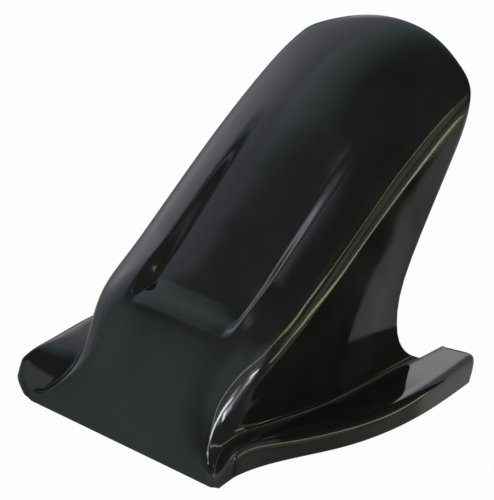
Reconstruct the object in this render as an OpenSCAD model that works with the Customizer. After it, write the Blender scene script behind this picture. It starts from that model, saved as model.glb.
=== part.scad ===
// Tire hugger: a one-piece moulded rear mudguard for a motorcycle.
// +X is across, +Y runs from the front edge to the tail, +Z is up; the part is
// the same on both sides of X = 0 and stands on its front edge and wing tips,
// with the origin on the ground under its middle.
// The whole form is one surface. At each distance back from the front edge a
// rounded section runs from the crown over the shoulder, down the side wall to
// the foot, out along the wing shelf to its ridge and down to the lip edge.

/* [Front plate] */
// Width across the front edge
plate_width = 228; // [216:2:236]
// Rounding of the front corners
corner_rounding = 4; // [3:0.5:6]
// Length of the front strip that is straight across
flat_run = 16; // [12:1:20]
// Distance back to where the narrowest part of the plate begins
waist_start = 22; // [20:1:26]
// Distance back to where the narrowest part of the plate ends
waist_end = 45; // [40:1:50]
// Width across the narrowest part of the plate
waist_width = 169; // [160:1:182]
// How far the edge of the plate stands outside the waist just behind the front corner
edge_sweep = 8; // [6:1:12]
// How far the shoulders lie below the crown there
waist_drop = 18; // [14:1:20]
// Distance back to where the plate bends into the arch
plate_run = 72; // [66:1:76]
// Height of the plate at that bend
plate_rise = 99; // [92:1:104]

/* [Arch] */
// Width across the shoulders of the arch
arch_width = 211; // [204:1:220]
// How far the shoulders lie below the crown
shoulder_drop = 20; // [14:1:26]
// Distance back to the lower part of the arch
lower_run = 130; // [124:1:136]
// Height of the crown at the lower part of the arch
lower_rise = 142; // [138:1:146]
// Distance back to the middle of the arch
middle_run = 230; // [224:1:236]
// Height of the crown at the middle of the arch
middle_rise = 220; // [214:1:226]
// Distance back to where the tail levels off
tail_run = 330; // [324:1:336]
// Height of the crown where the tail levels off
tail_rise = 281; // [276:1:288]
// Rise of the tail for each millimetre back
tail_slope = 0.18; // [0.05:0.01:0.3]
// How far the shoulders lie below the crown at the tip of the tail
tail_drop = 24; // [20:1:28]
// Distance back to the tip of the tail
overall_length = 368; // [362:1:376]

/* [Side walls] */
// Width across the feet of the side walls behind the waist
foot_width = 200; // [196:1:204]
// Width across the feet of the side walls at the notch
rear_foot_width = 196; // [190:1:200]
// How much wider the feet stand at the lower part of the arch
foot_bulge = 3; // [0:0.5:5]
// Distance back to where the feet are highest
foot_run = 50; // [46:1:56]
// Height of the feet there
foot_height = 29; // [26:1:32]
// Distance back to where the wing shelf becomes level
shelf_run = 160; // [150:1:175]
// Height of the wing shelf from there back
shelf_height = 15; // [13:1:17]

/* [Centre recess] */
// Width of the recess between the tops of its side slopes
recess_width = 130; // [110:2:140]
// Width of each side slope of the recess
recess_slope = 14; // [12:1:20]
// Depth of the recess at its deepest place
recess_depth = 15; // [4:1:18]
// Distance back to where the recess begins
recess_start = 66; // [62:1:74]
// Length of the front slope, from the start to the deepest place
recess_entry = 36; // [30:1:44]
// Distance back to where the recess has faded out
recess_end = 240; // [200:5:250]

/* [Wings] */
// Width across both wings at the front edge
nose_width = 266; // [260:1:270]
// Length over which the nose of each wing rises from the front corner
nose_run = 11; // [9:1:14]
// Length over which the hollow beside the plate deepens from the front corner
valley_run = 12; // [8:1:20]
// Length over which the ridge of the wing rounds over the nose
nose_reach = 20; // [16:1:22]
// Height of the ridge of the wing at the front of its nose
nose_front_height = 34; // [30:1:38]
// Height of the ridge of the wing just behind its nose
nose_height = 43; // [40:1:46]
// Distance back to where the swell of the wings begins to level off
swell_run = 110; // [104:1:116]
// Width across both wings there
swell_width = 322; // [316:2:328]
// Distance back to the widest place of the wings
span_run = 200; // [190:2:210]
// Width across both wings at that place
wing_span = 334; // [328:2:340]
// Width across both wings at their rear tips
tip_width = 290; // [284:2:300]
// Distance back to the rear edge of the wings
wing_length = 310; // [304:1:318]
// Height of the ridge of the wing at its rear tip
tip_height = 21; // [19:1:25]
// How much the outer corner of the wing tip is rounded back
tip_rounding = 16; // [10:1:18]
// How far the down-turned lip leans outward
lip_flare = 4; // [2:0.5:6]
// Distance back to where the lip edge begins to fall
lip_run = 60; // [54:1:66]
// Height of the lip edge from the nose to there
lip_height = 18; // [14:1:20]
// Height of the lip edge at the lower part of the arch
lip_low = 7; // [5:1:9]

/* [Rear edge and notch] */
// Distance back to the rear edge of the side wall at its narrowest
wall_length = 248; // [242:1:254]
// Height of the narrowest place of the side wall
wall_waist = 80; // [74:1:86]
// How far the rear edge runs back again below that place
wall_sweep = 26; // [20:1:32]
// Distance back to the rear edge of the side wall under the tail
upper_wall_length = 334; // [328:1:340]
// Height of the lower corner of the tail
tail_corner = 230; // [224:1:236]
// Height over which that corner is rounded into the end of the tail
tail_corner_height = 32; // [28:1:36]
// Size of the rounded corner at the bottom of the notch
notch_radius = 26; // [20:1:30]
// Height of that rounded corner
notch_height = 38; // [32:1:44]

/* [Moulding] */
// Thickness of the moulded wall
wall = 3; // [2:0.5:3.5]
// Size of the rounding along the ridge of each wing
ridge_rounding = 14; // [8:1:16]
// Size of the rounding along the foot of each side wall
foot_rounding = 14; // [10:1:18]

/* [Hidden] */

// Half sizes, measured from the centre plane
plate_half = plate_width/2;
waist_half = waist_width/2;
arch_half = arch_width/2;
foot_half = foot_width/2;
rear_foot_half = rear_foot_width/2;
nose_half = nose_width/2;
recess_half = recess_width/2;

// The front edge is cut square to the plate, so its inner side reaches lower
// than its outer side by this much, and the outer side is lifted to stand free
ground = wall*plate_run/norm([plate_run, plate_rise]);

// Guide lines: each is a list of [distance back, value] corners, and each is
// followed by the amounts by which its inner corners are eased
crown_guide = [[0, ground], [plate_run, plate_rise + ground], [lower_run, lower_rise + ground],
               [middle_run, middle_rise + ground], [tail_run, tail_rise + ground],
               [overall_length, tail_rise + ground + tail_slope*(overall_length - tail_run)]];
crown_ease = [8, 20, 25, 18];
shoulder_guide = [[0, plate_half - corner_rounding], [nose_run, waist_half + edge_sweep],
                  [waist_start, waist_half], [waist_end, waist_half],
                  [plate_run + corner_rounding, arch_half], [overall_length, arch_half]];
shoulder_ease = [4, 4, 7, 9];
drop_guide = [[0, 0], [flat_run, 0], [waist_end, waist_drop], [lower_run, shoulder_drop],
              [tail_run, shoulder_drop], [overall_length, tail_drop]];
drop_ease = [5, 8, 15, 15];
foot_guide = [[0, plate_half - corner_rounding/2], [nose_run, plate_half - 2*corner_rounding],
              [waist_start, waist_half + nose_run], [foot_run, foot_half],
              [lower_run, foot_half + foot_bulge],
              [wall_length, rear_foot_half], [overall_length, rear_foot_half]];
foot_ease = [4, 5, 12, 20, 15];
floor_guide = [[0, ground + 0.5], [nose_run, foot_height - 16], [waist_start, foot_height - 8],
               [foot_run, foot_height + 1], [shelf_run, shelf_height], [overall_length, shelf_height]];
floor_ease = [5, 12, 14, 20];
outline_guide = [[0, nose_half], [waist_start, nose_half - 1], [swell_run, swell_width/2],
                 [span_run, wing_span/2], [wing_length, tip_width/2]];
outline_ease = [12, 20, 30];
ridge_guide = [[0, nose_front_height], [waist_start, nose_height], [lip_run, nose_height - 7],
               [lower_run, nose_height - 14], [wing_length, tip_height]];
ridge_ease = [6, 15, 20];
lip_guide = [[0, lip_height], [lip_run, lip_height], [lower_run, lip_low], [wing_length, 0]];
lip_ease = [20, 40];
rim_guide = [[0, wall_length + wall_sweep - 10], [wall_waist, wall_length - 10],
             [tail_corner, upper_wall_length], [tail_corner + tail_corner_height, upper_wall_length + 4],
             [tail_rise + ground + tail_slope*(overall_length - tail_run), overall_length]];
rim_ease = [18, 10, 8];

// How flat the crown is across: 2 is a parabola, and a higher power is flatter
plate_flatness = 8;
arch_flatness = 2.2;
plate_spread = 1.26;    // how far the crown reaches to the edges of the plate
waist_spread = 1.16;    // the same at the waist
plate_fold = 5;         // how far each edge of the plate folds down its side
waist_fold = 11;        // the same at the waist
arch_fold = 26;         // the same at the arch
fork = 8.3;             // place round the section where arch and wing part
edge = 13;              // place round the section of the lip edge

// Stations back from the front edge, closer together at the nose and recess
station_rows = [0, 1.5, 3, 4.5, 6, 7.5, 9.5, 12, 16, 21, 28, 36, 44, 52, 60, 66, 72,
                79, 86, 94, 103, 115, 130, 148, 168, 190, 215];
stations = [for (f = station_rows) f*wall_length/248];
rear_rows = 11;         // rows between the last station and the rear edge
tab_rows = 4;           // rows along the wing behind the notch
// Places round the half section, closer together at the recess and the folds
arch_places = [0, 0.7, 1.3, 1.8, 2, 2.15, 2.3, 2.5, 2.9, 3.3, 3.65, 4, 4.35, 4.7, 5.1, 5.4,
               5.7, 6, 6.3, 6.6, 6.9, 7.2, 7.5, 7.8, 8.05, fork];
wing_places = [fork, 8.8, 9.4, 10, 10.4, 10.8, 11.1, 11.4, 11.8, 12.4, edge];

// Guide value at distance y: straight runs joined by eased corners
function softly(d, w) = d > 12*w ? d : w*ln(1 + exp(d/w));
function slope(k, i) = (k[i + 1][1] - k[i][1])/(k[i + 1][0] - k[i][0]);
function turns(k, w, y, i) = i >= len(k) - 1 ? 0
    : (slope(k, i) - slope(k, i - 1))*softly(y - k[i][0], w[i - 1]) + turns(k, w, y, i + 1);
function guide(k, w, y) = k[0][1] + slope(k, 0)*(y - k[0][0]) + turns(k, w, y, 1);

// Ridge and lip first run outward and up round the nose of the wing, and only
// then back, so at station y they lie a little nearer to the front
ridge_lag = 8;
lip_lag = 12;
function ridge_back(y) = softly(y - ridge_lag, 4.5);
function lip_back(y) = softly(y - lip_lag, 5);
function nose_rise(y) = sin(90*min(1, y/nose_reach));

// From 0 to 1, slowly at both ends
function fade(a) = let(b = max(0, min(1, a))) b*b*(3 - 2*b);

// A point d along the way from a to b
function along(a, b, d) = a + (b - a)*d/norm(b - a);

// Control corners of the half section at station y
function section(y) = let(
    top = guide(crown_guide, crown_ease, y),
    half = guide(shoulder_guide, shoulder_ease, y),
    drop = guide(drop_guide, drop_ease, y),
    s = [half, y, top - drop],
    yr = ridge_back(y),
    yl = lip_back(y),
    up = nose_rise(y),
    out = plate_half + corner_rounding/2,
    r_low = ground + 1,
    l_low = ground + 2,
    r = [out + (guide(outline_guide, outline_ease, yr) - lip_flare - out)*up, yr,
         r_low + (guide(ridge_guide, ridge_ease, yr) - r_low)*up],
    l = [out + wall + (guide(outline_guide, outline_ease, yl) - out - wall)*up, yl,
         l_low + (guide(lip_guide, lip_ease, yl) - l_low)*up],
    foot = [guide(foot_guide, foot_ease, y), y, guide(floor_guide, floor_ease, y)],
    v = foot + ((s + r)/2 - foot)*(1 - fade(y/valley_run)),
    to_waist = fade(y/waist_end),
    to_arch = fade((y - waist_end)/(lower_run - waist_end)),
    power = plate_flatness + (arch_flatness - plate_flatness)*to_arch,
    spread = plate_spread + (waist_spread - plate_spread)*to_waist + (1 - waist_spread)*to_arch,
    crown = [for (f = [-1, 0, 1, 2, 3]) let(g = f/4*spread)
        [g*half, y, top - drop*pow(abs(g), power)]],
    fold = plate_fold + (waist_fold - plate_fold)*to_waist + (arch_fold - waist_fold)*to_arch,
    fv = min(foot_rounding, 0.4*norm(v - s), 0.4*norm(r - v)),
    s_low = along(s, v, min(fold, 0.4*norm(v - s))),
    v_high = along(v, s, fv),
    v_out = along(v, r, fv),
    r_in = along(r, v, min(ridge_rounding, 0.5*norm(r - v))),
    r_out = along(r, l, min(ridge_rounding, 0.5*norm(l - r)))
) concat(crown, [s, s_low, (s_low + v_high)/2, v_high, v, v_out, r_in, r, r_out, l, 2*l - r_out]);

// Point at place t round a section with control corners c
function round_point(c, t) = let(i = max(0, min(floor(t), edge - 1)), f = t - i)
    (c[i]*pow(1 - f, 3) + c[i + 1]*(3*f*f*f - 6*f*f + 4)
        + c[i + 2]*(-3*f*f*f + 3*f*f + 3*f + 1) + c[i + 3]*f*f*f)/6;

// Depth of the centre recess at x, y
function recess(x, y) = recess_depth
    *fade((y - recess_start)/recess_entry)
    *min(1, max(0, (recess_end - y)/(recess_end - recess_start - recess_entry)))
    *fade((recess_half - abs(x))/recess_slope);

function surface_point(c, t) = let(p = round_point(c, t)) [p.x, p.y, p.z - recess(p.x, p.y)];

// Outer and inner point of the moulding at place t, station y
step = 0.05;
function wall_pair(t, y) = let(
    c = section(y),
    p = surface_point(c, t),
    across = surface_point(c, t + step) - surface_point(c, t - step),
    back = surface_point(section(y + step), t) - surface_point(section(y - step), t),
    n = cross(across, back)
) [p, p - n*wall/norm(n)];

// Rear edge of the arch: where the section meets the rim line seen from the side
function rim(z) = let(d = max(0, min(1, (shelf_height + notch_height - z)/notch_height)))
    guide(rim_guide, rim_ease, z) + notch_radius*(1 - sqrt(1 - 0.9999*d*d));
function arch_end(t, low = wall_length/2, high = 1.2*overall_length, n = 25) = let(y = (low + high)/2)
    n == 0 ? y : let(p = round_point(section(y), t))
    p.y < rim(p.z) ? arch_end(t, y, high, n - 1) : arch_end(t, low, y, n - 1);
tip_start = 10.4;       // place where the rounding of the wing tip begins
function wing_end(t) = 2*wing_length - round_point(section(wing_length), t).y
    - tip_rounding*pow(max(0, (t - tip_start)/(edge - tip_start)), 2);

// Rows of point pairs: the right half of the arch and the right wing
front_rows = len(stations) - 1;
rows = front_rows + rear_rows;
last = stations[front_rows];
arch_ends = [for (t = arch_places) arch_end(t)];
notch_end = arch_ends[len(arch_places) - 1];
arch_half_rows = [for (k = [0:rows]) [for (j = [0:len(arch_places) - 1])
    wall_pair(arch_places[j], k <= front_rows ? stations[k]
        : last + (arch_ends[j] - last)*(k - front_rows)/rear_rows)]];
wing_rows = [for (k = [0:rows + tab_rows]) [for (j = [1:len(wing_places) - 1]) let(t = wing_places[j])
    wall_pair(t, k <= front_rows ? stations[k]
        : k <= rows ? last + (notch_end - last)*(k - front_rows)/rear_rows
        : notch_end + (wing_end(t) - notch_end)*(k - rows)/tab_rows)]];
tab_edge = [for (k = [1:tab_rows]) wall_pair(fork, notch_end + (wing_end(fork) - notch_end)*k/tab_rows)];

// All the points of one skin (s = 0 outer, s = 1 inner), both sides
function mirrored(p) = [-p.x, p.y, p.z];
arch_last = len(arch_places) - 1;
arch_count = 2*arch_last + 1;
wing_count = len(wing_places) - 1;
function skin(s) = concat(
    [for (k = [0:rows]) each concat(
        [for (j = [arch_last:-1:1]) mirrored(arch_half_rows[k][j][s])],
        [for (j = [0:arch_last]) arch_half_rows[k][j][s]])],
    [for (row = wing_rows) each [for (pair = row) pair[s]]],
    [for (pair = tab_edge) pair[s]],
    [for (row = wing_rows) each [for (pair = row) mirrored(pair[s])]],
    [for (pair = tab_edge) mirrored(pair[s])]);

// Numbers of the points: arch row k and column j; wing side 0 right, 1 left
right_start = (rows + 1)*arch_count;
side_count = (rows + tab_rows + 1)*wing_count + tab_rows;
skin_count = right_start + 2*side_count;
function arch_at(k, j) = k*arch_count + j;
function wing_at(side, k, j) = let(start = right_start + side*side_count)
    j > 0 ? start + k*wing_count + j - 1
    : k <= rows ? arch_at(k, side == 0 ? arch_count - 1 : 0)
    : start + (rows + tab_rows + 1)*wing_count + k - rows - 1;

// Two triangles for each four-sided patch; the inner skin is turned over
function patch(a, b, c, d) = [[a, b, c], [a, c, d]];
outer_faces = concat(
    [for (k = [0:rows - 1]) for (j = [0:arch_count - 2])
        each patch(arch_at(k, j), arch_at(k + 1, j), arch_at(k + 1, j + 1), arch_at(k, j + 1))],
    [for (k = [0:rows + tab_rows - 1]) for (j = [0:wing_count - 1])
        each patch(wing_at(0, k, j), wing_at(0, k + 1, j), wing_at(0, k + 1, j + 1), wing_at(0, k, j + 1))],
    [for (k = [0:rows + tab_rows - 1]) for (j = [0:wing_count - 1])
        each patch(wing_at(1, k, j), wing_at(1, k, j + 1), wing_at(1, k + 1, j + 1), wing_at(1, k + 1, j))]);
inner_faces = [for (f = outer_faces) [f[0] + skin_count, f[2] + skin_count, f[1] + skin_count]];

// The free edge, once round: front, right lip, tip, notch, rim and back again
wing_last = rows + tab_rows;
free_edge = concat(
    [for (j = [0:arch_count - 2]) arch_at(0, j)],
    [for (j = [0:wing_count - 1]) wing_at(0, 0, j)],
    [for (k = [0:wing_last - 1]) wing_at(0, k, wing_count)],
    [for (j = [wing_count:-1:1]) wing_at(0, wing_last, j)],
    [for (k = [wing_last:-1:rows + 1]) wing_at(0, k, 0)],
    [for (j = [arch_count - 1:-1:1]) arch_at(rows, j)],
    [for (k = [rows:wing_last - 1]) wing_at(1, k, 0)],
    [for (j = [0:wing_count - 1]) wing_at(1, wing_last, j)],
    [for (k = [wing_last:-1:1]) wing_at(1, k, wing_count)],
    [for (j = [wing_count:-1:1]) wing_at(1, 0, j)]);
edge_faces = [for (i = [0:len(free_edge) - 1])
    let(a = free_edge[i], b = free_edge[(i + 1) % len(free_edge)])
    each patch(a, b, b + skin_count, a + skin_count)];

// Every point, moved so that the part stands on Z = 0 with its middle at Y = 0
skins = concat(skin(0), skin(1));
lowest = min([for (p = skins) p.z]);
middle = (min([for (p = skins) p.y]) + max([for (p = skins) p.y]))/2;
points = [for (p = skins) p - [0, middle, lowest]];

// The moulded shell
module shell() {
    color([0.06, 0.06, 0.065])
        polyhedron(points = points, faces = concat(outer_faces, inner_faces, edge_faces));
}

shell();
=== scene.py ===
import math

import bpy
import numpy as np
from mathutils import Matrix, Vector


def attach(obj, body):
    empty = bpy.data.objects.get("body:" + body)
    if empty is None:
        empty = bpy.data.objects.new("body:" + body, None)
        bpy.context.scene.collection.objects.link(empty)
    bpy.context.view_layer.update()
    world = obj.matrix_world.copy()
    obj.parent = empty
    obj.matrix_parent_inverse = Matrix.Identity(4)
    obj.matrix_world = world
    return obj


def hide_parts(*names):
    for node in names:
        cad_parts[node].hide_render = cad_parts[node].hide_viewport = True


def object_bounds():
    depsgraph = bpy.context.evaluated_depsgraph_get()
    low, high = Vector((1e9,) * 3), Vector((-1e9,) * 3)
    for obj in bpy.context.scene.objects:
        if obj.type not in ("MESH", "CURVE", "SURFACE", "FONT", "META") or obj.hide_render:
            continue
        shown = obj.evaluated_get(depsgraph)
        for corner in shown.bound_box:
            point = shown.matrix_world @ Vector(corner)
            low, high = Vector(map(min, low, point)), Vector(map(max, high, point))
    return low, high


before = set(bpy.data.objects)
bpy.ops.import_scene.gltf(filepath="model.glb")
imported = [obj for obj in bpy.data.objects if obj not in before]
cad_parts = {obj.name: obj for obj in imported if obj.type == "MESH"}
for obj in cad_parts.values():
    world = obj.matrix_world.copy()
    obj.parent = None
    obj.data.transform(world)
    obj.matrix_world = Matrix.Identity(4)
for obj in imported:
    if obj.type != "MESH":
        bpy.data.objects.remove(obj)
cadBox = [list(corner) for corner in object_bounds()]
print("frame loaded, CAD box", cadBox)

# Sizes of the moulded shell in millimetres. Runs are measured back from the front
# edge, rises up from the ground, and widths across both sides.
mould = {
    # front plate, and the waist where it folds into the arch
    "plateWidth": 228, "plateRun": 72, "plateRise": 99, "cornerRounding": 4, "flatRun": 16,
    "edgeSweep": 8, "valleyRun": 12,
    "waistStart": 22, "waistEnd": 45, "waistWidth": 169, "waistDrop": 18,
    # arch over the tyre
    "archWidth": 211, "shoulderDrop": 20, "lowerRun": 130, "lowerRise": 142,
    "middleRun": 230, "middleRise": 220, "tailRun": 330, "tailRise": 281,
    "tailSlope": 0.18, "tailDrop": 24, "overallLength": 368,
    "plateFlatness": 8, "archFlatness": 2.2,  # powers: the higher one is flatter across
    "crownSpread": (1.26, 1.16, 1),           # reach of the crown at plate, waist and arch
    "shoulderRounding": (5, 11, 26),          # at plate, waist and arch
    # side walls and the channel at their foot
    "footWidth": 200, "rearFootWidth": 196, "footBulge": 3, "footRun": 50, "footHeight": 29,
    "footLift": 0.5, "noseFootDrop": 16, "waistFootDrop": 8, "footCrest": 1,
    "shelfRun": 160, "shelfHeight": 15, "footRounding": 14,
    # recess in the arch
    "recessWidth": 130, "recessSlope": 14, "recessDepth": 15,
    "recessStart": 66, "recessEntry": 36, "recessEnd": 240,
    # nose and outline of the wings
    "noseWidth": 266, "noseRun": 11, "noseFrontHeight": 34, "noseHeight": 43, "noseTaper": 1,
    "noseTurn": 20, "swellRun": 110, "swellWidth": 322, "spanRun": 200, "wingSpan": 334,
    "tipWidth": 290, "wingLength": 310, "tipHeight": 21, "tipRounding": 16,
    # ridge and lip: their start is delayed, so that they first go up round the nose
    "ridgeRounding": 14, "ridgeDrop": 7, "ridgeLift": 1, "ridgeDelay": 8, "ridgeDelayEase": 4.5,
    "lipFlare": 4, "lipRun": 60, "lipHeight": 18, "lipLow": 7, "lipLift": 2,
    "lipDelay": 12, "lipDelayEase": 5,
    # rear edge of the arch, and the notch behind its foot
    "wallLength": 248, "wallWaist": 80, "wallSweep": 26, "wallSetback": 10,
    "upperWallLength": 334, "tailCorner": 230, "tailCornerHeight": 32, "tailLean": 4,
    "notchRadius": 26, "notchHeight": 38,
    "wall": 3,  # thickness of the moulding
}
# height of the outer skin at the front edge, where the inner one starts on the ground
ground = mould["wall"] * mould["plateRun"] / math.hypot(mould["plateRun"], mould["plateRise"])
plateHalf = mould["plateWidth"] / 2
waistHalf = mould["waistWidth"] / 2
footHalf = mould["footWidth"] / 2
rearFootHalf = mould["rearFootWidth"] / 2
noseHalf = mould["noseWidth"] / 2
tailReach = mould["overallLength"] - mould["tailRun"]
tipRise = mould["tailRise"] + ground + mould["tailSlope"] * tailReach

# Guide lines from front to back, as corners of run and value. The last one goes
# up the rear edge instead, as corners of rise and run.
guideCorners = {
    "crownRise": [
        (0, ground),
        (mould["plateRun"], mould["plateRise"] + ground),
        (mould["lowerRun"], mould["lowerRise"] + ground),
        (mould["middleRun"], mould["middleRise"] + ground),
        (mould["tailRun"], mould["tailRise"] + ground),
        (mould["overallLength"], tipRise),
    ],
    "shoulderHalf": [
        (0, plateHalf - mould["cornerRounding"]),
        (mould["noseRun"], waistHalf + mould["edgeSweep"]),
        (mould["waistStart"], waistHalf),
        (mould["waistEnd"], waistHalf),
        (mould["plateRun"] + mould["cornerRounding"], mould["archWidth"] / 2),
        (mould["overallLength"], mould["archWidth"] / 2),
    ],
    "shoulderDrop": [
        (0, 0),
        (mould["flatRun"], 0),
        (mould["waistEnd"], mould["waistDrop"]),
        (mould["lowerRun"], mould["shoulderDrop"]),
        (mould["tailRun"], mould["shoulderDrop"]),
        (mould["overallLength"], mould["tailDrop"]),
    ],
    "footHalf": [
        (0, plateHalf - mould["cornerRounding"] / 2),
        (mould["noseRun"], plateHalf - 2 * mould["cornerRounding"]),
        (mould["waistStart"], waistHalf + mould["noseRun"]),
        (mould["footRun"], footHalf),
        (mould["lowerRun"], footHalf + mould["footBulge"]),
        (mould["wallLength"], rearFootHalf),
        (mould["overallLength"], rearFootHalf),
    ],
    "footRise": [
        (0, ground + mould["footLift"]),
        (mould["noseRun"], mould["footHeight"] - mould["noseFootDrop"]),
        (mould["waistStart"], mould["footHeight"] - mould["waistFootDrop"]),
        (mould["footRun"], mould["footHeight"] + mould["footCrest"]),
        (mould["shelfRun"], mould["shelfHeight"]),
        (mould["overallLength"], mould["shelfHeight"]),
    ],
    "wingHalf": [
        (0, noseHalf),
        (mould["waistStart"], noseHalf - mould["noseTaper"]),
        (mould["swellRun"], mould["swellWidth"] / 2),
        (mould["spanRun"], mould["wingSpan"] / 2),
        (mould["wingLength"], mould["tipWidth"] / 2),
    ],
    "ridgeRise": [
        (0, mould["noseFrontHeight"]),
        (mould["waistStart"], mould["noseHeight"]),
        (mould["lipRun"], mould["noseHeight"] - mould["ridgeDrop"]),
        (mould["lowerRun"], mould["noseHeight"] - 2 * mould["ridgeDrop"]),
        (mould["wingLength"], mould["tipHeight"]),
    ],
    "lipRise": [
        (0, mould["lipHeight"]),
        (mould["lipRun"], mould["lipHeight"]),
        (mould["lowerRun"], mould["lipLow"]),
        (mould["wingLength"], 0),
    ],
    "rearRun": [
        (0, mould["wallLength"] + mould["wallSweep"] - mould["wallSetback"]),
        (mould["wallWaist"], mould["wallLength"] - mould["wallSetback"]),
        (mould["tailCorner"], mould["upperWallLength"]),
        (mould["tailCorner"] + mould["tailCornerHeight"],
         mould["upperWallLength"] + mould["tailLean"]),
        (tipRise, mould["overallLength"]),
    ],
}

# How softly each guide line turns at its inner corners, in millimetres
guideEases = {
    "crownRise": (8, 20, 25, 18),
    "shoulderHalf": (4, 4, 7, 9),
    "shoulderDrop": (5, 8, 15, 15),
    "footHalf": (4, 5, 12, 20, 15),
    "footRise": (5, 12, 14, 20),
    "wingHalf": (12, 20, 30),
    "ridgeRise": (6, 15, 20),
    "lipRise": (20, 40),
    "rearRun": (18, 10, 8),
}

# Places round the section, counted in its corners from the crown outward
crownSteps = 4   # corners from the crown to the shoulder
forkPlace = 8.3  # where arch and wing part
tabPlace = 10.4  # where the rear edge of the wing tab starts to round off
lipPlace = 13.0  # the edge of the lip

cornerShare = 0.4       # most of a wall or shelf that one rounding may take
ridgeShare = 0.5        # the same at the ridge
notchFullness = 0.9999  # just short of a full quarter round, where its slope would be endless


# 0 before a corner and the distance after it, with a soft turn between the two
def softly(distance, softness):
    return softness * np.logaddexp(0, distance / softness)


# A smooth step from 0 to 1
def fade(share):
    held = np.clip(share, 0, 1)
    return held * held * (3 - 2 * held)


def mix(first, second, share):
    return first + (second - first) * share


# Value of a guide line at a run
def guide(name, run):
    corners = guideCorners[name]
    slopes = [(b[1] - a[1]) / (b[0] - a[0]) for a, b in zip(corners, corners[1:])]
    value = corners[0][1] + slopes[0] * (run - corners[0][0])
    for corner, before, after, ease in zip(corners[1:], slopes, slopes[1:], guideEases[name]):
        value = value + (after - before) * softly(run - corner[0], ease)
    return value


def point(x, run, rise):
    return np.stack(np.broadcast_arrays(x, run, rise), axis=-1)


def length(vector):
    return np.linalg.norm(vector, axis=-1, keepdims=True)


def along(start, end, distance):
    return start + (end - start) * distance / length(end - start)


# Control corners of the right half section at each run: crown, shoulder, foot, ridge, lip
def sectionCorners(run):
    top = guide("crownRise", run)
    half = guide("shoulderHalf", run)
    drop = guide("shoulderDrop", run)
    ridgeRun = softly(run - mould["ridgeDelay"], mould["ridgeDelayEase"])
    lipRun = softly(run - mould["lipDelay"], mould["lipDelayEase"])
    up = np.sin(np.radians(90 * np.minimum(1, run / mould["noseTurn"])))
    out = plateHalf + mould["cornerRounding"] / 2

    shoulder = point(half, run, top - drop)
    ridge = point(mix(out, guide("wingHalf", ridgeRun) - mould["lipFlare"], up), ridgeRun,
                  mix(ground + mould["ridgeLift"], guide("ridgeRise", ridgeRun), up))
    lip = point(mix(out + mould["wall"], guide("wingHalf", lipRun), up), lipRun,
                mix(ground + mould["lipLift"], guide("lipRise", lipRun), up))
    foot = point(guide("footHalf", run), run, guide("footRise", run))
    valley = fade(run / mould["valleyRun"])[..., None]
    foot = mix((shoulder + ridge) / 2, foot, valley)  # no valley yet at the front edge

    toWaist = fade(run / mould["waistEnd"])
    toArch = fade((run - mould["waistEnd"]) / (mould["lowerRun"] - mould["waistEnd"]))

    def byZone(name):
        plate, waist, arch = mould[name]
        return plate + (waist - plate) * toWaist + (arch - waist) * toArch

    flatness = mix(mould["plateFlatness"], mould["archFlatness"], toArch)
    spread = byZone("crownSpread")
    crown = []
    for step in range(-1, crownSteps):
        share = step / crownSteps * spread
        crown.append(point(share * half, run, top - drop * abs(share) ** flatness))

    wallHeight = length(foot - shoulder)
    shelfWidth = length(ridge - foot)
    lipDepth = length(lip - ridge)
    shoulderEase = np.minimum(byZone("shoulderRounding")[..., None], cornerShare * wallHeight)
    footEase = np.minimum(mould["footRounding"], cornerShare * np.minimum(wallHeight, shelfWidth))
    shelfEase = np.minimum(mould["ridgeRounding"], ridgeShare * shelfWidth)
    lipEase = np.minimum(mould["ridgeRounding"], ridgeShare * lipDepth)
    belowShoulder = along(shoulder, foot, shoulderEase)
    aboveFoot = along(foot, shoulder, footEase)
    belowRidge = along(ridge, lip, lipEase)
    corners = crown + [
        shoulder, belowShoulder, (belowShoulder + aboveFoot) / 2, aboveFoot,
        foot, along(foot, ridge, footEase),
        along(ridge, foot, shelfEase), ridge, belowRidge,
        lip, 2 * lip - belowRidge,
    ]
    return np.stack(corners, axis=-2)


# Point at a place round the section, on a smooth curve that its corners pull into shape
def roundPoint(corners, place):
    first = np.clip(np.floor(place), 0, lipPlace - 1).astype(int)
    f = (place - first)[..., None]
    weights = ((1 - f) ** 3, 3 * f**3 - 6 * f**2 + 4, -3 * f**3 + 3 * f**2 + 3 * f + 1, f**3)
    total = 0
    for k, weight in enumerate(weights):
        corner = np.take_along_axis(corners, (first + k)[..., None, None], axis=-2)[..., 0, :]
        total = total + weight * corner
    return total / 6


# How far the recess sinks below the crown
def recessDepthAt(x, run):
    fadeIn = fade((run - mould["recessStart"]) / mould["recessEntry"])
    fadeLength = mould["recessEnd"] - mould["recessStart"] - mould["recessEntry"]
    fadeOut = np.clip((mould["recessEnd"] - run) / fadeLength, 0, 1)
    fadeSide = fade((mould["recessWidth"] / 2 - abs(x)) / mould["recessSlope"])
    return mould["recessDepth"] * fadeIn * fadeOut * fadeSide


# Point of the outer skin at a place round the section and a run
def surfacePoint(place, run):
    place, run = np.broadcast_arrays(np.asarray(place, float), np.asarray(run, float))
    p = roundPoint(sectionCorners(run), place)
    p[..., 2] -= recessDepthAt(p[..., 0], p[..., 1])
    return p


# Direction straight out of that skin
def outwardAt(place, run, step=0.05):
    across = surfacePoint(place + step, run) - surfacePoint(place - step, run)
    back = surfacePoint(place, run + step) - surfacePoint(place, run - step)
    outward = np.cross(across, back)
    return outward / length(outward)


# Rear edge of the arch, seen from the side, with the notch in its lower end
def rearRun(rise):
    notchTop = mould["shelfHeight"] + mould["notchHeight"]
    deep = np.clip((notchTop - rise) / mould["notchHeight"], 0, 1)
    notch = mould["notchRadius"] * (1 - np.sqrt(1 - notchFullness * deep * deep))
    return guide("rearRun", rise) + notch


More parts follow.
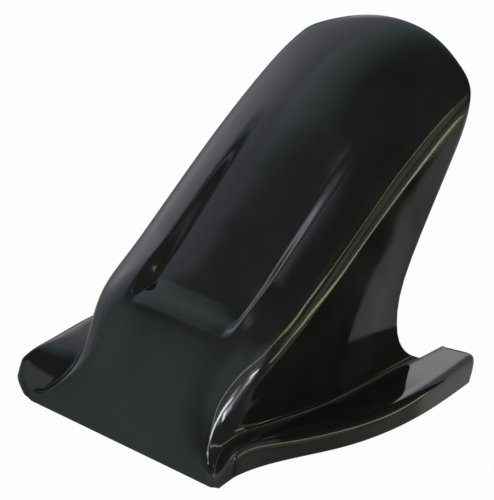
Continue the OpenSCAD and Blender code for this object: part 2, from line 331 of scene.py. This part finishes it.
# Run at which each place round the section meets that edge, found by halving
def archEnd(place, nearest=200.0, farthest=420.0, halvings=24):
    low, high = np.full_like(place, nearest), np.full_like(place, farthest)
    for _ in range(halvings):
        middle = (low + high) / 2
        p = roundPoint(sectionCorners(middle), place)
        inside = p[..., 1] < rearRun(p[..., 2])
        low, high = np.where(inside, middle, low), np.where(inside, high, middle)
    return (low + high) / 2


# Run at which each place of a wing ends, so that its tab is cut straight across
# and rounds off toward the lip
def wingEnd(place):
    seam = roundPoint(sectionCorners(np.full_like(place, mould["wingLength"])), place)[..., 1]
    rounded = np.maximum(0, (place - tabPlace) / (lipPlace - tabPlace)) ** 2
    return 2 * mould["wingLength"] - seam - mould["tipRounding"] * rounded


# How finely the shell is meshed, and how its free edge is rounded
shellMesh = {
    "edgeRadius": 0.9,  # mm
    "edgeSteps": 3,     # rings over each rounded corner of the edge
    "rearRows": 20,     # rows between the last straight row and the rear edge
    "tabRows": 8,       # rows along each wing behind the notch
    # spans of places and of runs in mm, each with its start, end and number of steps
    "archPlaces": [(0, 1.8, 11), (1.8, 2.7, 20), (2.7, 3.3, 5),
                   (3.3, 5.2, 26), (5.2, 7, 10), (7, forkPlace, 14)],
    "wingPlaces": [(forkPlace, tabPlace, 12), (tabPlace, 12, 16), (12, lipPlace, 6)],
    "runs": [(0, 15, 16), (15, 60, 20), (60, 112, 32), (112, 215, 28)],
}


def stepsOver(spans):
    pieces = [np.linspace(start, end, count, endpoint=False) for start, end, count in spans]
    return np.append(np.concatenate(pieces), spans[-1][1])


# Places and runs of every mesh point: one grid over half the arch and one over a wing
def buildGrids():
    archPlaces = stepsOver(shellMesh["archPlaces"])
    wingPlaces = stepsOver(shellMesh["wingPlaces"])
    runs = stepsOver(shellMesh["runs"])
    rearShare = np.linspace(0, 1, shellMesh["rearRows"] + 1)[1:, None]
    tabShare = np.linspace(0, 1, shellMesh["tabRows"] + 1)[1:, None]
    ends = archEnd(archPlaces)
    archFront = np.repeat(runs[:, None], len(archPlaces), 1)
    archRuns = np.concatenate([archFront, runs[-1] + (ends - runs[-1]) * rearShare])
    wingFront = np.concatenate([runs, runs[-1] + (ends[-1] - runs[-1]) * rearShare[:, 0]])
    wingTab = ends[-1] + (wingEnd(wingPlaces) - ends[-1]) * tabShare
    wingRuns = np.concatenate([np.repeat(wingFront[:, None], len(wingPlaces), 1), wingTab])
    arch = np.broadcast_arrays(archPlaces, archRuns)
    wing = np.broadcast_arrays(wingPlaces, wingRuns)
    return arch, wing


# One open sheet: the arch across both sides, and the two wings that leave it at the fork
def buildSheet():
    arch, wing = buildGrids()
    rows, archColumns = arch[0].shape
    wingRows, wingColumns = wing[0].shape
    archPoints, archNormals = surfacePoint(*arch), outwardAt(*arch)
    wingPoints, wingNormals = surfacePoint(*wing), outwardAt(*wing)
    points, normals, numbers = [], [], {}

    def add(key, p, n):
        numbers[key] = len(points)
        points.append(p)
        normals.append(n)

    def square(part, k, j):
        return [numbers[part, a, b] for a, b in ((k, j), (k, j + 1), (k + 1, j + 1), (k + 1, j))]

    for k in range(rows):
        for j in range(-archColumns + 1, archColumns):
            flip = np.array([-1 if j < 0 else 1, 1, 1])
            add(("arch", k, j), archPoints[k, abs(j)] * flip, archNormals[k, abs(j)] * flip)
    for side in (1, -1):
        flip = np.array([side, 1, 1])
        for k in range(wingRows):
            for j in range(wingColumns):
                if j == 0 and k < rows:
                    numbers[side, k, 0] = numbers["arch", k, side * (archColumns - 1)]
                else:
                    add((side, k, j), wingPoints[k, j] * flip, wingNormals[k, j] * flip)
    faces = []
    for k in range(rows - 1):
        for j in range(-archColumns + 1, archColumns - 1):
            faces.append(square("arch", k, j))
    for side in (1, -1):
        for k in range(wingRows - 1):
            for j in range(wingColumns - 1):
                face = square(side, k, j)
                faces.append(face if side > 0 else face[::-1])
    return np.array(points), np.array(normals), faces


# The free edge once round, as the edges that only one face uses
def freeEdge(faces):
    sides = {(a, b) for face in faces for a, b in zip(face, face[1:] + face[:1])}
    border = {a: b for a, b in sides if (b, a) not in sides}
    loop = [min(border)]
    while border[loop[-1]] != loop[0]:
        loop.append(border[loop[-1]])
    return loop


# Outer skin, inner skin one wall inside it, and a rounded edge that joins them
def buildShell():
    points, normals, faces = buildSheet()
    loop = freeEdge(faces)
    wall = mould["wall"]
    radius = shellMesh["edgeRadius"]
    rim, rimNormals = points[loop], normals[loop]
    tangent = np.roll(rim, -1, 0) - np.roll(rim, 1, 0)
    away = np.cross(tangent, rimNormals)
    away /= length(away)
    inner = points - normals * wall
    lowest = inner[:, 2].min()
    points[loop] -= away * radius
    inner[loop] -= away * radius
    turns = np.radians(np.linspace(0, 90, shellMesh["edgeSteps"] + 1)[1:])
    rings = []
    for a in turns:
        under = radius * (1 - math.cos(a))
        rings.append(rim - away * radius * (1 - math.sin(a)) - rimNormals * under)
    for a in turns[::-1]:
        under = wall - radius * (1 - math.cos(a))
        rings.append(rim - away * radius * (1 - math.sin(a)) - rimNormals * under)
    count = len(points)
    allPoints = np.concatenate([points, inner] + rings)
    allFaces = faces + [[v + count for v in reversed(face)] for face in faces]
    rimCount = len(loop)
    bands = [loop]
    for r in range(len(rings)):
        bands.append([2 * count + r * rimCount + i for i in range(rimCount)])
    bands.append([v + count for v in loop])
    for upper, lower in zip(bands, bands[1:]):
        for i in range(rimCount):
            k = (i + 1) % rimCount
            allFaces.append([upper[k], upper[i], lower[i], lower[k]])
    return allPoints, allFaces, lowest


# Adds a node, and fills each given socket with a value or with another node's output
def makeNode(tree, kind, sockets=(), **settings):
    node = tree.nodes.new(kind)
    for name, value in settings.items():
        setattr(node, name, value)
    for socket, value in sockets:
        if hasattr(value, "links"):
            tree.links.new(value, node.inputs[socket])
        else:
            node.inputs[socket].default_value = value
    return node


def blendColours(tree, share, first, second):
    colours = [value if hasattr(value, "links") else (*value, 1) for value in (first, second)]
    sockets = [("Factor", share), ("A", colours[0]), ("B", colours[1])]
    return makeNode(tree, "ShaderNodeMix", sockets, data_type="RGBA").outputs["Result"]


# Gloss black moulded plastic: a deep black with faint flow marks, shallow sinks, orange
# peel and specks of dust. Its sizes and heights are in metres.
blackPlastic = {
    "deep": (0.0085, 0.0085, 0.0095), "flow": (0.015, 0.0145, 0.015),
    "flowSize": 0.05, "flowDetail": 3,
    "flowRange": (0.35, 0.65),  # noise values between which the colour changes
    "roughness": (0.06, 0.11), "roughnessRange": (0.3, 0.7),
    "sinkSize": 0.045, "sinkHeight": 0.00022,
    "peelSize": 0.0028, "peelHeight": 0.000012,
    "dust": (0.05, 0.05, 0.048), "dustSize": 0.0011, "dustRange": (0.76, 0.82),
    "fineDetail": 1,  # of the noise for sinks, peel and dust
    "ior": 1.5,
}


def makeBlackPlastic():
    look = blackPlastic
    material = bpy.data.materials.new("gloss_black_plastic")
    material.use_nodes = True
    tree = material.node_tree
    shader = tree.nodes["Principled BSDF"]
    shader.inputs["IOR"].default_value = look["ior"]
    place = makeNode(tree, "ShaderNodeTexCoord").outputs["Object"]

    def noise(size, detail=look["fineDetail"]):
        sockets = [("Vector", place), ("Scale", 1 / size), ("Detail", detail)]
        return makeNode(tree, "ShaderNodeTexNoise", sockets).outputs["Fac"]

    def between(value, low, high, outLow=0.0, outHigh=1.0):
        sockets = [("Value", value), ("From Min", low), ("From Max", high),
                   ("To Min", outLow), ("To Max", outHigh)]
        return makeNode(tree, "ShaderNodeMapRange", sockets).outputs["Result"]

    flow = noise(look["flowSize"], look["flowDetail"])
    dust = between(noise(look["dustSize"]), *look["dustRange"])
    black = blendColours(tree, between(flow, *look["flowRange"]), look["deep"], look["flow"])
    dusty = blendColours(tree, dust, black, look["dust"])
    roughness = between(flow, *look["roughnessRange"], *look["roughness"])
    sinks = makeNode(tree, "ShaderNodeBump", [
        ("Strength", 1.0), ("Distance", look["sinkHeight"]), ("Height", noise(look["sinkSize"]))])
    peel = makeNode(tree, "ShaderNodeBump", [
        ("Strength", 1.0), ("Distance", look["peelHeight"]), ("Height", noise(look["peelSize"])),
        ("Normal", sinks.outputs["Normal"])])
    tree.links.new(dusty, shader.inputs["Base Color"])
    tree.links.new(roughness, shader.inputs["Roughness"])
    tree.links.new(peel.outputs["Normal"], shader.inputs["Normal"])
    return material


# The frame starts on the ground under the middle of the part, so the shell moves
# there from its front edge, and stands on its lowest point
def makeShell():
    points, faces, lowest = buildShell()
    points += [0, 1000 * cadBox[0][1], -lowest]
    mesh = bpy.data.meshes.new("moulded_shell")
    mesh.from_pydata((points / 1000).tolist(), [], faces)
    mesh.polygons.foreach_set("use_smooth", [True] * len(faces))
    mesh.update()
    shell = bpy.data.objects.new("moulded_shell", mesh)
    bpy.context.collection.objects.link(shell)
    mesh.materials.append(makeBlackPlastic())
    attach(shell, "root")
    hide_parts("shell")
    print("shell made:", len(points), "points,", len(faces), "faces")


makeShell()

# The photograph's view: where the camera stands and looks, in degrees and millimetres
cameraView = {
    "azimuth": 43.56, "elevation": 25.5, "distance": 2600,
    "middleRun": -3.6, "middleHeight": 131.9,
    "leftOfMiddle": 12.93, "belowMiddle": 7.79,
    "lens": 212.5, "sensor": 36,
    "clipNear": 0.1, "clipFar": 100,  # m
}


def makeCamera():
    view = cameraView
    azimuth = math.radians(view["azimuth"])
    elevation = math.radians(view["elevation"])
    right = Vector((math.cos(azimuth), math.sin(azimuth), 0))
    level = Vector((math.sin(azimuth), -math.cos(azimuth), 0))
    back = level * math.cos(elevation) + Vector((0, 0, math.sin(elevation)))
    up = back.cross(right)
    middle = Vector((0, view["middleRun"], view["middleHeight"]))
    target = middle - view["leftOfMiddle"] * right - view["belowMiddle"] * up
    data = bpy.data.cameras.new("camera")
    data.lens = view["lens"]
    data.sensor_width = view["sensor"]
    data.clip_start = view["clipNear"]
    data.clip_end = view["clipFar"]
    camera = bpy.data.objects.new("camera", data)
    camera.location = (target + view["distance"] * back) / 1000
    camera.rotation_euler = back.to_track_quat("Z", "Y").to_euler()
    bpy.context.collection.objects.link(camera)
    bpy.context.scene.camera = camera


makeCamera()
print("camera placed")


# A flat sheet of the studio, with an empty material for its own maker to fill
def makeSheet(name, corners, materialName):
    mesh = bpy.data.meshes.new(name)
    mesh.from_pydata(corners, [], [list(range(len(corners)))])
    sheet = bpy.data.objects.new(name, mesh)
    bpy.context.collection.objects.link(sheet)
    material = bpy.data.materials.new(materialName)
    material.use_nodes = True
    material.node_tree.nodes.clear()
    mesh.materials.append(material)
    return sheet, material.node_tree


# A matte floor that the camera sees almost as plain white, with a very faint shadow on it
whiteFloor = {
    "size": 30,  # m
    "colour": (0.8, 0.8, 0.8),
    "glow": 0.97,  # share of plain white in what the camera sees
}


def makeFloor():
    half = whiteFloor["size"] / 2
    corners = [(-half, -half, 0), (half, -half, 0), (half, half, 0), (-half, half, 0)]
    floor, tree = makeSheet("floor", corners, "white_floor")
    floor.visible_glossy = False  # reflections see the room's light below the horizon instead
    floor.visible_shadow = False  # one tube dips below it and still lights the part
    matte = makeNode(tree, "ShaderNodeBsdfDiffuse", [("Color", (*whiteFloor["colour"], 1))])
    glow = makeNode(tree, "ShaderNodeEmission", [("Strength", 1.0)])
    path = makeNode(tree, "ShaderNodeLightPath")
    share = makeNode(tree, "ShaderNodeMath", [
        (0, path.outputs["Is Camera Ray"]), (1, whiteFloor["glow"])], operation="MULTIPLY")
    white = makeNode(tree, "ShaderNodeMixShader", [
        ("Fac", share.outputs[0]), (1, matte.outputs[0]), (2, glow.outputs[0])])
    makeNode(tree, "ShaderNodeOutputMaterial", [("Surface", white.outputs[0])])


# A painted shadow: a flat dark card over the floor beside the right wall, where the part's own
# shadow lies, which only reflections see. In metres.
paintedShadowCard = {
    "outline": [
        (0.11, 0), (0.17, 0.11), (0.22, 0.215), (0.275, 0.315), (0.315, 0.385), (0.36, 0.38),
        (0.34, 0.33), (0.29, 0.2), (0.25, 0.1), (0.21, 0), (0.17, -0.12), (0.12, -0.12)],
    "height": 0.045,
    "colour": (0.01, 0.01, 0.01),
}


# Lays the dark card, a painted shadow of the part on the floor that only reflections see
def makePaintedShadowCard():
    corners = [(x, y, paintedShadowCard["height"]) for x, y in paintedShadowCard["outline"]]
    card, tree = makeSheet("painted_shadow_card", corners, "painted_shadow_card")
    card.visible_camera = False
    card.visible_diffuse = False
    card.visible_shadow = False
    matte = makeNode(tree, "ShaderNodeBsdfDiffuse", [("Color", (*paintedShadowCard["colour"], 1))])
    makeNode(tree, "ShaderNodeOutputMaterial", [("Surface", matte.outputs[0])])


# The room's light by direction, in degrees as seen from the part: azimuth 0 is straight
# in front of its front edge and 90 is its right side. Each panel is a bank of light or a
# dark flag, laid over the walls, the dim ceiling and the panels before it.
room = {
    "wallLight": (0.5, 0.66, 0.64), "wallTop": 30,
    "ceilingLight": (0.11, 0.12, 0.12), "ceilingStart": 65,
    "panels": {
        # azimuth, width, elevation, height, softness, light
        "floor": (0, 400, -50, 110, 5, (0.4, 0.4, 0.36)),
        "left_flag": (-80, 35, 23, 36, 30, (0.25, 0.3, 0.3)),
        "left_bank": (-85, 50, 40, 10, 30, (0.85, 0.95, 1.05)),
        "left_gap": (-90, 28, 24, 8, 20, (0.45, 0.45, 0.45)),
        "crown_flag": (-48, 45, 46, 32, 20, (0.17, 0.19, 0.21)),
        "right_flag": (90, 130, 34, 90, 15, (0.14, 0.14, 0.12)),
        "rear_left_flag": (-140, 30, 0, 50, 20, (0.1, 0.1, 0.1)),
        "rear_left_wall": (-112, 90, 28, 27, 4, (0.5, 0.5, 0.6)),
        "right_floor": (115, 30, -28, 26, 3, (0.45, 0.45, 0.4)),
        "right_floor_flag": (112, 36, -34, 24, 10, (0.06, 0.06, 0.06)),
        "rear_floor": (140, 22, -33, 18, 5, (0.26, 0.28, 0.26)),
        "rear_right_bank": (162, 34, -14, 64, 5, (0.9, 0.85, 0.85)),
        "front_bank": (35, 40, 30, 50, 20, (0.75, 0.8, 0.8)),
        "left_lamp": (-92, 15, 20, 10, 40, (3, 2.8, 3.1)),
        "crown_slot": (-45, 15, 62, 6, 8, (0.85, 0.9, 1)),
        "rear_right_flag": (164, 16, -38, 14, 18, (0.1, 0.1, 0.1)),
        "left_tip_bank": (-138, 24, 19, 14, 9, (1.3, 1.25, 1.3)),
        "right_bank": (110, 28, 12, 32, 8, (0.65, 0.65, 0.5)),
    },
}


def makeRoom():
    world = bpy.data.worlds.new("studio_room")
    bpy.context.scene.world = world
    world.use_nodes = True
    tree = world.node_tree
    tree.nodes.clear()

    def maths(operation, *values):
        return makeNode(tree, "ShaderNodeMath", enumerate(values), operation=operation).outputs[0]

    def ramp(value, start, end):
        sockets = [("Value", value), ("From Min", start), ("From Max", end)]
        soft = makeNode(tree, "ShaderNodeMapRange", sockets, interpolation_type="SMOOTHSTEP")
        return soft.outputs["Result"]

    # 1 inside a span of degrees and 0 outside it, also across the seam at 180
    def inside(value, middle, span, softness):
        offset = maths("WRAP", maths("SUBTRACT", value, middle), 180.0, -180.0)
        return ramp(maths("ABSOLUTE", offset), (span + softness) / 2, (span - softness) / 2)

    direction = makeNode(tree, "ShaderNodeTexCoord").outputs["Generated"]
    split = makeNode(tree, "ShaderNodeSeparateXYZ", [(0, direction)])
    forward = maths("MULTIPLY", split.outputs["Y"], -1.0)
    azimuth = maths("DEGREES", maths("ARCTAN2", split.outputs["X"], forward))
    elevation = maths("DEGREES", maths("ARCSINE", split.outputs["Z"]))

    high = ramp(elevation, room["wallTop"], room["ceilingStart"])
    light = blendColours(tree, high, room["wallLight"], room["ceilingLight"])
    for name, panel in room["panels"].items():
        middle, width, rise, height, softness, colour = panel
        share = maths("MULTIPLY", inside(azimuth, middle, width, softness),
                      inside(elevation, rise, height, softness))
        share.node.label = name
        light = blendColours(tree, share, light, colour)
    path = makeNode(tree, "ShaderNodeLightPath")
    seen = blendColours(tree, path.outputs["Is Camera Ray"], light, (1, 1, 1))  # plain white
    shade = makeNode(tree, "ShaderNodeBackground", [("Color", seen), ("Strength", 1.0)])
    makeNode(tree, "ShaderNodeOutputWorld", [("Surface", shade.outputs[0])])


# Lamp tubes close to the part, in metres. Each runs through the points of its path and
# faces the point at aim.
warm = (1, 0.94, 0.5)
cool = (0.88, 0.9, 1)
lampTubes = {
    "arch_tube": {
        "width": 0.026, "light": 4, "colour": warm, "aim": (0.1, 0, 0.12),
        "path": [(0.52, 0.3, 0.46), (0.51, 0.18, 0.51), (0.49, 0.05, 0.52), (0.51, 0.04, 0.49),
                 (0.52, 0.01, 0.45), (0.5, -0.07, 0.44), (0.47, -0.1, 0.43),
                 (0.37, -0.14, 0.43), (0.295, -0.165, 0.37)]},
    "arch_tube_end": {
        "width": 0.013, "light": 4, "colour": warm, "aim": (0.1, 0, 0.12),
        "path": [(0.295, -0.165, 0.37), (0.22, -0.245, 0.27)]},
    "nose_tube": {
        "width": 0.007, "light": 4, "colour": warm, "aim": (0.09, -0.12, 0.07),
        "path": [(0.22, -0.245, 0.27), (0.11, -0.285, 0.185), (0.09, -0.305, 0.165)]},
    "side_tube": {
        "width": 0.024, "light": 4, "colour": warm, "aim": (0.1, 0, 0.12),
        "path": [(0.36, 0.41, 0.11), (0.36, 0.38, 0.08), (0.35, 0.34, 0.05), (0.36, 0.29, 0.01),
                 (0.39, 0.22, -0.01), (0.41, 0.13, 0.04), (0.4, 0.05, 0.09),
                 (0.38, -0.04, 0.09), (0.36, -0.12, 0.11)]},
    "front_lamp": {
        "width": 0.065, "light": 18, "colour": cool, "aim": (0.09, -0.12, 0.07),
        "path": [(0.25, -0.28, 0.18), (0.255, -0.285, 0.16)]},
    "front_band": {
        "width": 0.05, "light": 5, "colour": cool, "aim": (0.09, -0.12, 0.06),
        "path": [(0.255, -0.285, 0.16), (0.255, -0.3, 0.13)]},
    "front_rise": {
        "width": 0.05, "light": 1.5, "colour": cool, "aim": (0.09, -0.14, 0.04),
        "path": [(0.255, -0.3, 0.13), (0.235, -0.32, 0.13), (0.215, -0.285, 0.15),
                 (0.19, -0.25, 0.175)]},
    "nose_band": {
        "width": 0.02, "light": 4, "colour": cool, "aim": (0.09, -0.165, 0.02),
        "path": [(0.115, -0.18, 0.09), (0.105, -0.18, 0.08)]},
    "nose_lamp": {
        "width": 0.02, "light": 16, "colour": cool, "aim": (0.09, -0.165, 0.02),
        "path": [(0.105, -0.18, 0.08), (0.105, -0.18, 0.075)]},
}


# One straight length of even light between each two points of the path
def makeTube(name, tube):
    joints = [Vector(place) for place in tube["path"]]
    for start, end in zip(joints, joints[1:]):
        middle = (start + end) / 2
        lengthwise = (end - start).normalized()
        across = (middle - Vector(tube["aim"])).cross(lengthwise).normalized()
        data = bpy.data.lights.new(name, "AREA")
        data.shape = "RECTANGLE"
        data.size = (end - start).length
        data.size_y = tube["width"]
        data.energy = tube["light"] * math.pi * data.size * tube["width"]
        data.color = tube["colour"]
        lamp = bpy.data.objects.new(name, data)
        lamp.location = middle
        axes = Matrix((lengthwise, across, lengthwise.cross(across)))
        lamp.rotation_euler = axes.transposed().to_euler()
        lamp.visible_camera = False
        bpy.context.collection.objects.link(lamp)


makeFloor()
makePaintedShadowCard()
print("floor and card laid")
makeRoom()
print("room lit:", len(room["panels"]), "panels")
for name, tube in lampTubes.items():
    makeTube(name, tube)
bpy.context.scene.view_settings.view_transform = "Standard"
print("lamps lit:", len(lampTubes), "tubes")
